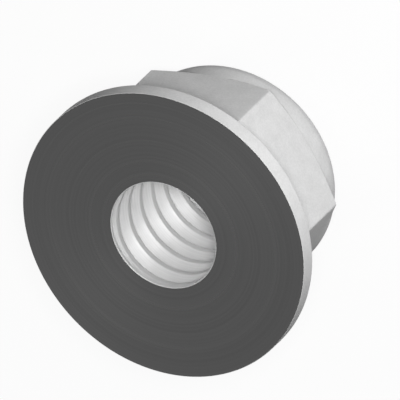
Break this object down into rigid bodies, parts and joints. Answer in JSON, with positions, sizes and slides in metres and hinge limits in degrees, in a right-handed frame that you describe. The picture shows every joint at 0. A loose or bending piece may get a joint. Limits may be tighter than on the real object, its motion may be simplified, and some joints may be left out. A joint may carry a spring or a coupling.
{
  "type": "flange nut",
  "caption": "Hexagon nut with a thin round flange, a flat bearing face, a threaded hole and a round collar past the far end of the hexagon.",
  "frame": {"origin": "centre of the collar's flat end, on the thread's axis, where the nut stands", "axes": "+Z along the thread's axis, from the collar to the bearing face on top of the flange; two opposite corners of the hexagon lie on X and one pair of flats faces +Y and -Y"},
  "size_m": [0.0172, 0.0172, 0.0095],
  "materials": {
    "steel": "forged steel in a matte, neutral grey coating, with the bearing face turned and the hole tapped after it"
  },
  "bodies": {
    "root": {"flange_nut": "steel"}
  },
  "joints": []
}
